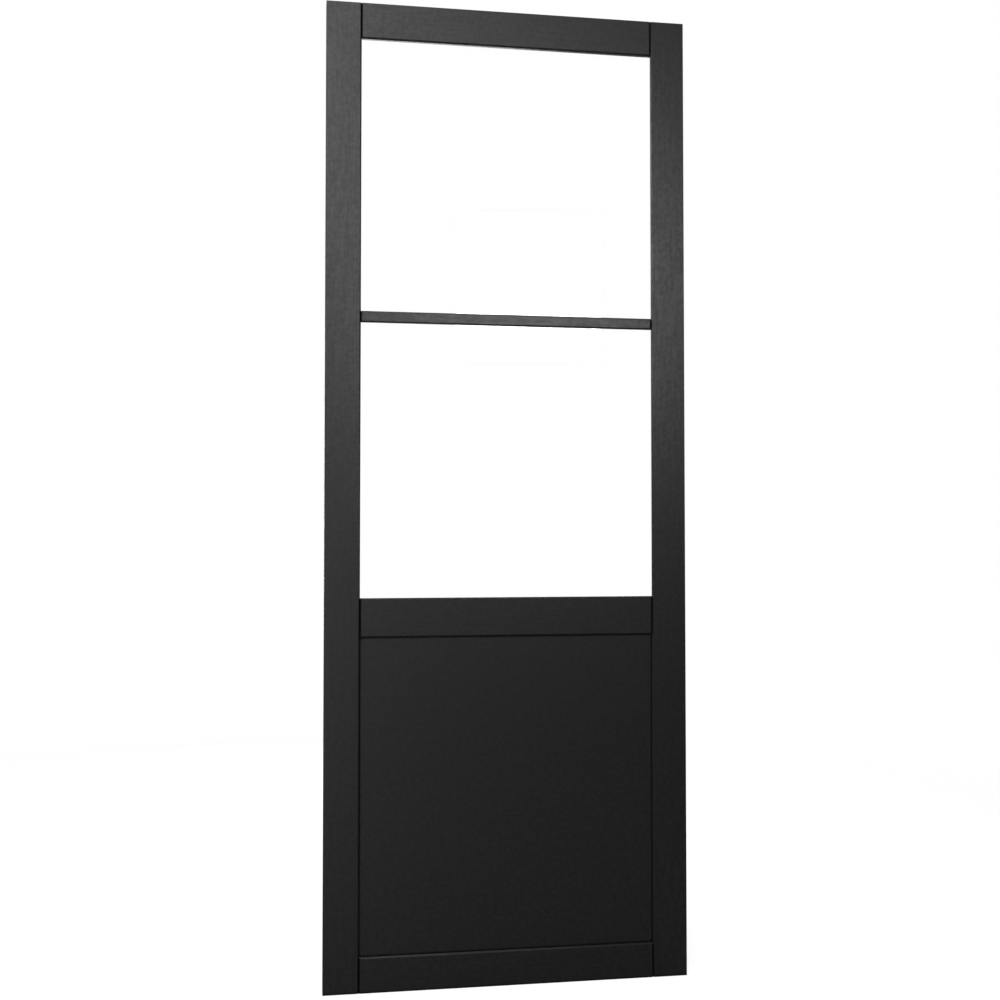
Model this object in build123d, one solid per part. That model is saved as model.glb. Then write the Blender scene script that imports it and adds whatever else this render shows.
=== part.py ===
from build123d import *
import os

# Glazed interior door leaf, in millimetres.
# X runs from the hinge edge to the lock edge, Y from the front face to the rear, Z up.
# The origin is at the foot of the hinge edge, in the middle of the thickness.

# Overall size of the leaf
door_width = 900.0
door_height = 2400.0
door_thickness = 40.0

# Sight sizes of the members and of the lower panel
stile_width = 86.0
top_rail_height = 88.0
glazing_bar_height = 28.0
mid_rail_height = 95.0
bottom_rail_height = 85.0
panel_sight_height = 764.0

# Arrises: chamfers along the openings and in the joints, and eased outer edges
joint_chamfer = 3.5
rebate_arris = 1.5
edge_radius = 1.2

# Mortise and tenon joints
tenon_thickness = 12.0
tenon_length = 46.0
tenon_edge_margin = 17.0
tenon_end_gap = 1.0
bar_tenon_thickness = 20.0
bar_tenon_height = 5.0
bar_tenon_length = 20.0

# Glazing, from the front lip back to the bead
front_lip_depth = 5.0
rebate_depth = 10.0
glass_thickness = 4.0
glass_edge_gap = 3.0
seal_thickness = 1.0
seal_set_back = 1.0
bead_set_back = 4.0
bead_flat = 3.0
setting_block_length = 60.0
setting_block_inset = 120.0

# Lower panel, held by a tongue in grooves
panel_recess = 8.0
panel_tongue_thickness = 10.0
panel_tongue_length = 9.0
groove_end_gap = 1.0

# Depths that follow from the sizes above
front_face = -door_thickness / 2
rear_face = door_thickness / 2
lip_rear = front_face + front_lip_depth
glass_front = lip_rear + seal_thickness
glass_rear = glass_front + glass_thickness
bead_front = glass_rear + seal_thickness
glass_bite = rebate_depth - glass_edge_gap
bead_width = rebate_depth - bead_set_back
bead_rear = bead_front + bead_width + bead_flat
groove_depth = panel_tongue_length + groove_end_gap

# Widths and heights between the sight lines
sight_x = (stile_width, door_width - stile_width)
sight_width = sight_x[1] - sight_x[0]
members_total = top_rail_height + glazing_bar_height + mid_rail_height + bottom_rail_height
pane_sight_height = (door_height - members_total - panel_sight_height) / 2
panel_bottom = bottom_rail_height
panel_top = panel_bottom + panel_sight_height
lower_pane_bottom = panel_top + mid_rail_height
lower_pane_top = lower_pane_bottom + pane_sight_height
upper_pane_bottom = lower_pane_top + glazing_bar_height
upper_pane_top = upper_pane_bottom + pane_sight_height

# Each pane by name, with the heights of its lower and upper sight lines
panes = {
    "lower": (lower_pane_bottom, lower_pane_top),
    "upper": (upper_pane_bottom, upper_pane_top),
}


def grown(span, amount):
    """A span with both ends moved outwards."""
    return (span[0] - amount, span[1] + amount)


def centred(middle, size):
    """A span of a given size round a middle."""
    return (middle - size / 2, middle + size / 2)


def block(x_span, y_span, z_span):
    """A plain block between a low and a high place along each axis."""
    spans = (x_span, y_span, z_span)
    middle = [(low + high) / 2 for low, high in spans]
    size = [high - low for low, high in spans]
    return Pos(*middle) * Box(*size)


def upright_outline(x_span, z_span, y):
    """A flat rectangle that stands across the leaf at one depth."""
    middle = ((x_span[0] + x_span[1]) / 2, y, (z_span[0] + z_span[1]) / 2)
    facing_front = Plane(middle, x_dir=(1, 0, 0), z_dir=(0, -1, 0))
    return facing_front * Rectangle(x_span[1] - x_span[0], z_span[1] - z_span[0])


def upright_sheet(x_span, z_span, y_span):
    """A sheet that stands across the leaf between two depths."""
    return extrude(upright_outline(x_span, z_span, y_span[1]), amount=y_span[1] - y_span[0])


def eased_leaf():
    """The outside of the whole leaf with its outer arrises eased, which every member follows."""
    middle = door_width / 2
    plan = Pos(X=middle) * RectangleRounded(door_width, door_thickness, edge_radius)
    side = RectangleRounded(door_thickness, door_height, edge_radius)
    from_hinge_edge = Plane((0, 0, door_height / 2), x_dir=(0, 1, 0), z_dir=(1, 0, 0))
    return extrude(plan, amount=door_height) & extrude(from_hinge_edge * side, amount=door_width)


def glazing_rebate(sight):
    """The space behind the front lip round one pane, with its rear arris taken off."""
    x_span = grown(sight_x, rebate_depth)
    z_span = grown(sight, rebate_depth)
    pocket = upright_sheet(x_span, z_span, (lip_rear, rear_face))
    inner = upright_outline(x_span, z_span, rear_face - rebate_arris)
    outer = upright_outline(grown(x_span, rebate_arris), grown(z_span, rebate_arris), rear_face)
    return pocket + loft([inner.face(), outer.face()])


def panel_groove():
    """The space for the panel's tongue, with a little room at its edges."""
    x_span = grown(sight_x, groove_depth)
    z_span = grown((panel_bottom, panel_top), groove_depth)
    return upright_sheet(x_span, z_span, centred(0, panel_tongue_thickness))


def worked(member):
    """A member with its outer edges eased and the rebates and the panel groove cut."""
    member &= eased_leaf()
    for sight in panes.values():
        member -= glazing_rebate(sight)
    return member - panel_groove()


def rail_tenon(bottom, height):
    """Depth span, height span and length of the tenon at each end of a rail."""
    z_span = grown((bottom, bottom + height), -tenon_edge_margin)
    return centred(0, tenon_thickness), z_span, tenon_length


def bar_tenon():
    """The same for the slim glazing bar, whose tenon lies in the web behind its front lip."""
    y_span = centred((lip_rear + rear_face) / 2, bar_tenon_thickness)
    z_span = centred((lower_pane_top + upper_pane_bottom) / 2, bar_tenon_height)
    return y_span, z_span, bar_tenon_length


def make_hinge_stile():
    """Full height stile with chamfered inner arrises and a mortise for each tenon."""
    plan = Rectangle(stile_width, door_thickness, align=(Align.MIN, Align.CENTER))
    plan = chamfer(plan.vertices().group_by(Axis.X)[-1], joint_chamfer)
    stile = worked(extrude(plan, amount=door_height))
    tenons = (
        rail_tenon(0, bottom_rail_height),
        rail_tenon(panel_top, mid_rail_height),
        rail_tenon(upper_pane_top, top_rail_height),
        bar_tenon(),
    )
    for y_span, z_span, length in tenons:
        mortise_x = (stile_width - length - tenon_end_gap, stile_width)
        stile -= block(mortise_x, y_span, z_span)
    return stile


def make_lock_stile():
    """The other stile, a mirror image across the middle of the leaf."""
    return mirror(make_hinge_stile(), about=Plane.YZ.offset(door_width / 2))


def member_section(height, inner_arrises):
    """Section of a level member, chamfered below, above or on both sides."""
    section = Rectangle(door_thickness, height, align=(Align.CENTER, Align.MIN))
    if inner_arrises != "above":
        section = chamfer(section.vertices().group_by(Axis.Y)[0], joint_chamfer)
    if inner_arrises != "below":
        section = chamfer(section.vertices().group_by(Axis.Y)[-1], joint_chamfer)
    return section


def make_member(bottom, height, inner_arrises, tenon):
    """A level member between the stiles, with chamfered ends and a tenon at each end."""
    end_plane = Plane((sight_x[0], 0, bottom), x_dir=(0, 1, 0), z_dir=(1, 0, 0))
    member = extrude(end_plane * member_section(height, inner_arrises), amount=sight_width)
    plan = chamfer(Rectangle(sight_width, door_thickness).vertices(), joint_chamfer)
    member &= extrude(Pos(door_width / 2, 0, bottom) * plan, amount=height)
    member = worked(member)
    y_span, z_span, length = tenon
    member += block((sight_x[0] - length, sight_x[0]), y_span, z_span)
    member += block((sight_x[1], sight_x[1] + length), y_span, z_span)
    return member


def make_rail(bottom, height, inner_arrises):
    """One of the three rails that carry the leaf."""
    return make_member(bottom, height, inner_arrises, rail_tenon(bottom, height))


def make_lower_panel():
    """The flat panel, set back from both faces, with a tongue all round."""
    z_span = (panel_bottom, panel_top)
    between_faces = grown((front_face, rear_face), -panel_recess)
    core = upright_sheet(sight_x, z_span, between_faces)
    tongue_x = grown(sight_x, panel_tongue_length)
    tongue_z = grown(z_span, panel_tongue_length)
    return core + upright_sheet(tongue_x, tongue_z, centred(0, panel_tongue_thickness))


def make_glass(sight):
    """One sheet of clear glass, which reaches behind the sight lines on all sides."""
    x_span = grown(sight_x, glass_bite)
    z_span = grown(sight, glass_bite)
    return upright_sheet(x_span, z_span, (glass_front, glass_rear))


def make_seal(sight, y_low, set_back):
    """A thin seal strip all round one face of the glass, set back from the sight lines."""
    y_span = (y_low, y_low + seal_thickness)
    sheet = upright_sheet(grown(sight_x, glass_bite), grown(sight, glass_bite), y_span)
    return sheet - upright_sheet(grown(sight_x, set_back), grown(sight, set_back), y_span)


def bead_section():
    """Quadrant bead: x from the rebate wall inwards, y from its rear towards the glass."""
    depth = bead_rear - bead_front
    quadrant = RadiusArc((0, 0), (bead_width, bead_width), -bead_width)
    flats = Polyline((bead_width, bead_width), (bead_width, depth), (0, depth), (0, 0))
    return make_face([quadrant, flats])


def make_bead(outer_start, outer_end, inner_end, inner_start):
    """A quadrant bead along one side of a pane, mitred at both ends, from its four corners."""
    corners = [Vector(x, bead_rear, z) for x, z in (outer_start, outer_end, inner_end, inner_start)]
    along = corners[1] - corners[0]
    inwards = along.cross(Vector(0, -1, 0)).normalized() * -1
    on_end = Plane(corners[0], x_dir=inwards, z_dir=along)
    bead = extrude(on_end * bead_section(), amount=along.length)
    mitred = make_face(Polyline(corners, close=True))
    return bead & extrude(mitred, amount=bead_rear - bead_front, dir=(0, -1, 0))


def corners_round(sight, amount):
    """The four corners of one pane's sight lines, moved outwards."""
    left, right = grown(sight_x, amount)
    low, high = grown(sight, amount)
    return [(left, low), (right, low), (right, high), (left, high)]


def make_beads(sight):
    """The four beads of one pane, by the side that they hold, set back from its sight lines."""
    outer = corners_round(sight, rebate_depth)
    inner = corners_round(sight, bead_set_back)
    beads = {}
    for index, side in enumerate(("bottom", "lock_side", "top", "hinge_side")):
        following = (index + 1) % 4
        beads[side] = make_bead(outer[index], outer[following], inner[following], inner[index])
    return beads


def make_setting_block(sight, middle_x):
    """A block between the rebate and the lower edge of the glass, which carries its weight."""
    z_span = (sight[0] - rebate_depth, sight[0] - glass_bite)
    return block(centred(middle_x, setting_block_length), (glass_front, glass_rear), z_span)


def make_parts():
    """Every piece of the leaf, by name."""
    parts = {
        "hinge_stile": make_hinge_stile(),
        "lock_stile": make_lock_stile(),
        "top_rail": make_rail(upper_pane_top, top_rail_height, "below"),
        "glazing_bar": make_member(lower_pane_top, glazing_bar_height, "both", bar_tenon()),
        "mid_rail": make_rail(panel_top, mid_rail_height, "both"),
        "bottom_rail": make_rail(0, bottom_rail_height, "above"),
        "lower_panel": make_lower_panel(),
    }
    block_places = {
        "hinge_side": sight_x[0] + setting_block_inset,
        "lock_side": sight_x[1] - setting_block_inset,
    }
    for name, sight in panes.items():
        parts[name + "_glass"] = make_glass(sight)
        parts[name + "_front_seal"] = make_seal(sight, lip_rear, seal_set_back)
        parts[name + "_rear_seal"] = make_seal(sight, glass_rear, bead_set_back + seal_set_back)
        for side, bead in make_beads(sight).items():
            parts[name + "_bead_" + side] = bead
        for side, middle_x in block_places.items():
            parts[name + "_setting_block_" + side] = make_setting_block(sight, middle_x)
    return parts


os.makedirs("parts", exist_ok=True)
for node, shape in make_parts().items():
    export_step(shape, "parts/" + node + ".step")
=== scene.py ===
import bpy
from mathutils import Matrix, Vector

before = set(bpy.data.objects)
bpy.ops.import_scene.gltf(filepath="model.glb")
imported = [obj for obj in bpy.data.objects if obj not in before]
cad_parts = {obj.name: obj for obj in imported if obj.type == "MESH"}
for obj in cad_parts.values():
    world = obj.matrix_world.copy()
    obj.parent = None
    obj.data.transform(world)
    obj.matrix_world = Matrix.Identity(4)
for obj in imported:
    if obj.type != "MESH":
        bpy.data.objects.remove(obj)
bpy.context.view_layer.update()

# Camera, in metres: 3 m in front of the hinge edge at chest height, looking a little upwards
camera_place = Vector((-0.043, -3.018, 1.093))
camera_aim = Vector((0.428, -0.02, 1.183))
focal_length_mm = 44.4
sensor_width_mm = 36.0

# Studio: a dim room and a pale floor, both of which are seen as white
white = (1.0, 1.0, 1.0)
room_light = 0.12
seen_room_light = 1.0
floor_size = 60.0
floor_height = -0.001
floor_pale = 0.3

# The floor as it is seen: near the leaf, paint that keeps the shadow, with a glow; far away, plain
# white light. It changes between two distances from the foot of the hinge edge.
floor_seen_pale = 0.4
floor_near_glow = 0.8
floor_far_glow = 1.0
floor_near_reach = 1.5
floor_far_reach = 4.0

# Softboxes: place, the point that each faces, side in metres and power in watts
softboxes = {
    "low_softbox": ((-1.7, -3.6, 0.6), (0.0, 0.0, 0.8), 1.4, 55.0),
    "top_softbox": ((-0.9, -3.6, 3.6), (-0.1, 0.0, 2.0), 1.4, 77.0),
    "right_softbox": ((1.15, -3.6, 2.45), (0.76, 0.0, 1.8), 0.8, 44.0),
    "side_softbox": ((-3.0, -0.7, 2.9), (0.2, 0.0, 1.8), 1.0, 50.0),
    "overhead_softbox": ((0.4, -1.1, 3.6), (0.4, 0.0, 0.4), 0.8, 9.0),
    "rear_softbox": ((0.4, 3.6, 1.4), (0.45, 0.0, 1.2), 1.6, 60.0),
}

# Satin paint: its colour, as linear values, and how it varies from its brightest to its dullest spots
paint_black = (0.0032, 0.0032, 0.0032)
paint_bright_share = 1.4
paint_dull_share = 0.7
paint_roughness = 0.4
paint_roughness_wave = 0.05
paint_sheen = 0.42
sheen_bright_share = 1.12
sheen_dull_share = 0.88
mottle_share = 0.6
streak_share = 0.4

# The paint's patterns: features to the metre, detail and roughness of each noise
paint_patterns = {
    "wave": (9.0, 1.0, 0.5),
    "mottle": (90.0, 4.0, 0.7),
    "streak": (240.0, 3.0, 0.6),
    "stipple": (620.0, 3.0, 0.5),
}
streak_squeeze = 0.05

# The relief that each pattern gives the paint: strength, and depth in metres
paint_relief = {
    "wave": (0.25, 0.0006),
    "mottle": (0.7, 0.0003),
    "streak": (0.17, 0.0001),
    "stipple": (0.22, 0.0001),
}

# Painted shade: the paint's sheen is cut in crevices, grooves and recesses, where shade would fall.
# How far to look around in metres, the shares of open space at which a spot is closed and open,
# and the share of its sheen that a closed spot keeps
painted_shade_reach = 0.012
painted_shade_samples = 8
painted_shade_closed_at = 0.62
painted_shade_open_at = 0.86
painted_shade_sheen_share = 0.2

# Rubber of the seals and setting blocks
rubber_black = (0.012, 0.012, 0.012)
rubber_roughness = (0.6, 0.75)
rubber_sheen = 0.3
rubber_grain = 900.0
rubber_relief = (0.3, 0.0001)

# Clear float glass
glass_tint = (0.992, 0.998, 0.995)
glass_index = 1.5
glass_roughness = (0.0, 0.003)
glass_smear = 30.0
glass_wave = 3.0
glass_relief = (0.05, 0.0004)

# Ranges to take values from: all of a share, and the middle in which most of a noise lies
whole = (0.0, 1.0)
middle = (0.3, 0.7)


class Nodes:
    """A short way to build the nodes of a material or a world."""

    def __init__(self, owner):
        owner.use_nodes = True
        self.tree = owner.node_tree
        self.tree.nodes.clear()

    def add(self, kind, settings=None, **inputs):
        """A node with its settings made and its inputs set or linked."""
        node = self.tree.nodes.new(kind)
        for key, value in (settings or {}).items():
            setattr(node, key, value)
        for key, value in inputs.items():
            self.feed(node, key.replace("_", " "), value)
        return node

    def feed(self, node, name, value):
        """Sets an input to a value, or links it where the value is another node's output."""
        socket = node.inputs[int(name)] if name.isdigit() else node.inputs[name]
        if isinstance(value, bpy.types.NodeSocket):
            self.tree.links.new(value, socket)
        else:
            socket.default_value = value


def new_nodes(name):
    """A new material and its node builder."""
    material = bpy.data.materials.new(name)
    return material, Nodes(material)


def opaque(colour):
    """A colour as the nodes take it, with its alpha."""
    return (*colour, 1.0)


def shaded(colour, share):
    """A colour made paler or darker by a share."""
    return opaque(share * part for part in colour)


def noise(nodes, place, scale, detail=2.0, roughness=0.5):
    """A noise pattern with so many features to the metre."""
    made = nodes.add(
        "ShaderNodeTexNoise", Vector=place, Scale=scale, Detail=detail, Roughness=roughness
    )
    return made.outputs["Fac"]


def remap(nodes, value, source, target):
    """A value taken from one range to another and kept inside it."""
    made = nodes.add("ShaderNodeMapRange", Value=value)
    for name, number in zip(("From Min", "From Max", "To Min", "To Max"), (*source, *target)):
        nodes.feed(made, name, number)
    return made.outputs["Result"]


def calculate(nodes, operation, first, second):
    """Two values taken together by an operation, such as ADD."""
    made = nodes.add("ShaderNodeMath", {"operation": operation})
    nodes.feed(made, "0", first)
    nodes.feed(made, "1", second)
    return made.outputs["Value"]


def relief(nodes, pattern, strength, depth, under=None):
    """The surface's direction with a pattern raised on it, on top of an earlier relief."""
    made = nodes.add("ShaderNodeBump", Height=pattern, Strength=strength, Distance=depth)
    if under is not None:
        nodes.feed(made, "Normal", under)
    return made.outputs["Normal"]


def mix_colours(nodes, share, first, second):
    """The first colour, or the second by its share. The node's colours are inputs 6 and 7, output 2."""
    made = nodes.add("ShaderNodeMix", {"data_type": "RGBA"})
    nodes.feed(made, "0", share)
    nodes.feed(made, "6", first)
    nodes.feed(made, "7", second)
    return made.outputs[2]


def mix_shaders(nodes, share, first, second):
    """The first shader, or the second by its share."""
    made = nodes.add("ShaderNodeMixShader")
    nodes.feed(made, "0", share)
    nodes.feed(made, "1", first.outputs[0])
    nodes.feed(made, "2", second.outputs[0])
    return made


def paint_pattern_outputs(nodes, grain_direction):
    """The paint's patterns by name, with the streaks drawn out along the grain."""
    place = nodes.add("ShaderNodeTexCoord").outputs["Object"]
    squeeze = [streak_squeeze if axis == grain_direction else 1.0 for axis in "XYZ"]
    grain_place = nodes.add("ShaderNodeMapping", Vector=place, Scale=squeeze).outputs["Vector"]
    places = {"streak": grain_place}
    return {
        name: noise(nodes, places.get(name, place), *look)
        for name, look in paint_patterns.items()
    }


def painted_crevice_shade(nodes):
    """Painted shade: 1 on an open face, and in a crevice the share of the sheen that is left, as if
    shade fell there.
    """
    shade_probe = nodes.add(
        "ShaderNodeAmbientOcclusion", {"samples": painted_shade_samples}, Distance=painted_shade_reach
    )
    return remap(nodes, shade_probe.outputs["AO"], (painted_shade_closed_at, painted_shade_open_at), (painted_shade_sheen_share, 1.0))


def satin_paint(name, grain_direction):
    """Black satin paint: slow waves, brush mottle, streaks along the member and fine stipple."""
    material, nodes = new_nodes(name)
    patterns = paint_pattern_outputs(nodes, grain_direction)
    mottle = remap(nodes, patterns["mottle"], middle, (0.0, mottle_share))
    streak = remap(nodes, patterns["streak"], middle, (0.0, streak_share))
    dullness = calculate(nodes, "ADD", mottle, streak)
    bright, dull = (shaded(paint_black, share) for share in (paint_bright_share, paint_dull_share))
    smooth, rough = paint_roughness - paint_roughness_wave, paint_roughness + paint_roughness_wave
    sheen_range = (paint_sheen * sheen_bright_share, paint_sheen * sheen_dull_share)
    sheen = remap(nodes, dullness, middle, sheen_range)
    normal = None
    for pattern, (strength, depth) in paint_relief.items():
        normal = relief(nodes, patterns[pattern], strength, depth, under=normal)
    shader = nodes.add(
        "ShaderNodeBsdfPrincipled",
        Base_Color=mix_colours(nodes, dullness, bright, dull),
        Roughness=remap(nodes, dullness, whole, (smooth, rough)),
        Normal=normal,
        # Painted shade: the sheen is cut in crevices and recesses by the occlusion mask
        Specular_IOR_Level=calculate(nodes, "MULTIPLY", painted_crevice_shade(nodes), sheen),
    )
    nodes.add("ShaderNodeOutputMaterial", Surface=shader.outputs[0])
    return material


def seal_rubber():
    """Matt black rubber with a fine moulded grain."""
    material, nodes = new_nodes("seal_rubber")
    place = nodes.add("ShaderNodeTexCoord").outputs["Object"]
    grain = noise(nodes, place, rubber_grain)
    shader = nodes.add(
        "ShaderNodeBsdfPrincipled",
        Base_Color=opaque(rubber_black),
        Roughness=remap(nodes, grain, middle, rubber_roughness),
        Normal=relief(nodes, grain, *rubber_relief),
        Specular_IOR_Level=rubber_sheen,
    )
    nodes.add("ShaderNodeOutputMaterial", Surface=shader.outputs[0])
    return material


def clear_glass():
    """Clear polished glass, faintly uneven as float glass is, which lets light through to the floor."""
    material, nodes = new_nodes("clear_glass")
    place = nodes.add("ShaderNodeTexCoord").outputs["Object"]
    wave = noise(nodes, place, glass_wave, detail=1.0)
    shader = nodes.add(
        "ShaderNodeBsdfPrincipled",
        Base_Color=opaque(glass_tint),
        Roughness=remap(nodes, noise(nodes, place, glass_smear), middle, glass_roughness),
        IOR=glass_index,
        Transmission_Weight=1.0,
        Normal=relief(nodes, wave, *glass_relief),
    )
    clear = nodes.add("ShaderNodeBsdfTransparent", Color=opaque(glass_tint))
    shadow_ray = nodes.add("ShaderNodeLightPath").outputs["Is Shadow Ray"]
    mixed = mix_shaders(nodes, shadow_ray, shader, clear)
    nodes.add("ShaderNodeOutputMaterial", Surface=mixed.outputs[0])
    return material


def seen_ray(nodes):
    """1 for rays that show the background: from the camera, through glass or mirrored sharply by it."""
    path = nodes.add("ShaderNodeLightPath").outputs
    mirrored = calculate(nodes, "MULTIPLY", path["Is Glossy Ray"], path["Is Singular Ray"])
    direct = calculate(nodes, "MAXIMUM", path["Is Camera Ray"], path["Is Transmission Ray"])
    return calculate(nodes, "MAXIMUM", direct, mirrored)


def floor_finish():
    """A pale floor that is seen as white and keeps the shadow near the leaf."""
    material, nodes = new_nodes("studio_floor")
    pale = nodes.add("ShaderNodeBsdfDiffuse", Color=shaded(white, floor_pale))
    seen_pale = nodes.add("ShaderNodeBsdfDiffuse", Color=shaded(white, floor_seen_pale))
    glow = nodes.add("ShaderNodeEmission", Color=opaque(white), Strength=floor_near_glow)
    near = nodes.add("ShaderNodeAddShader")
    nodes.feed(near, "0", seen_pale.outputs[0])
    nodes.feed(near, "1", glow.outputs[0])
    far = nodes.add("ShaderNodeEmission", Color=opaque(white), Strength=floor_far_glow)
    place = nodes.add("ShaderNodeTexCoord").outputs["Object"]
    distance = nodes.add("ShaderNodeVectorMath", {"operation": "LENGTH"})
    nodes.feed(distance, "0", place)
    fade = remap(nodes, distance.outputs["Value"], (floor_near_reach, floor_far_reach), whole)
    seen_floor = mix_shaders(nodes, fade, near, far)
    mixed = mix_shaders(nodes, seen_ray(nodes), pale, seen_floor)
    nodes.add("ShaderNodeOutputMaterial", Surface=mixed.outputs[0])
    return material


def make_floor():
    """The studio floor under the leaf."""
    half = floor_size / 2
    mesh = bpy.data.meshes.new("studio_floor")
    corners = [(-half, -half), (half, -half), (half, half), (-half, half)]
    mesh.from_pydata([(x, y, floor_height) for x, y in corners], [], [(0, 1, 2, 3)])
    floor = bpy.data.objects.new("studio_floor", mesh)
    floor.data.materials.append(floor_finish())
    bpy.context.scene.collection.objects.link(floor)


def make_world():
    """A dim room all round, which is seen as white."""
    world = bpy.data.worlds.new("studio")
    bpy.context.scene.world = world
    nodes = Nodes(world)
    room = nodes.add("ShaderNodeBackground", Color=opaque(white), Strength=room_light)
    seen = nodes.add("ShaderNodeBackground", Color=opaque(white), Strength=seen_room_light)
    mixed = mix_shaders(nodes, seen_ray(nodes), room, seen)
    nodes.add("ShaderNodeOutputWorld", Surface=mixed.outputs[0])


def make_softbox(name, place, aim, side, power):
    """A square soft lamp that faces a point, out of the picture also where it stands behind the leaf."""
    data = bpy.data.lights.new(name, "AREA")
    data.size = side
    data.energy = power
    lamp = bpy.data.objects.new(name, data)
    lamp.location = place
    lamp.rotation_euler = (Vector(aim) - Vector(place)).to_track_quat("-Z", "Y").to_euler()
    lamp.visible_camera = False
    lamp.visible_transmission = False
    bpy.context.scene.collection.objects.link(lamp)


def make_camera():
    """The photograph's point of view."""
    data = bpy.data.cameras.new("camera")
    data.lens = focal_length_mm
    data.sensor_width = sensor_width_mm
    camera = bpy.data.objects.new("camera", data)
    camera.location = camera_place
    camera.rotation_euler = (camera_aim - camera_place).to_track_quat("-Z", "Y").to_euler()
    bpy.context.scene.collection.objects.link(camera)
    bpy.context.scene.camera = camera


def dress(node_names, material):
    """Gives nodes of the model their finish."""
    for name in node_names:
        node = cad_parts[name]
        node.data.materials.clear()
        node.data.materials.append(material)


def names_with(*words):
    """The names of the model's nodes that contain one of the words."""
    return [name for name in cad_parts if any(word in name for word in words)]


def dress_leaf():
    """Paint, glass and rubber on every piece, with the paint's grain along each member."""
    dress(names_with("stile", "bead_hinge_side", "bead_lock_side"), satin_paint("paint_upright", "Z"))
    dress(names_with("rail", "glazing_bar", "bead_top", "bead_bottom"), satin_paint("paint_level", "X"))
    dress(["lower_panel"], satin_paint("paint_panel", None))
    dress(["lower_glass", "upper_glass"], clear_glass())
    dress(names_with("seal", "setting_block"), seal_rubber())


make_camera()
make_world()
make_floor()
for name, (place, aim, side, power) in softboxes.items():
    make_softbox(name, place, aim, side, power)
dress_leaf()
bpy.context.scene.view_settings.view_transform = "Standard"
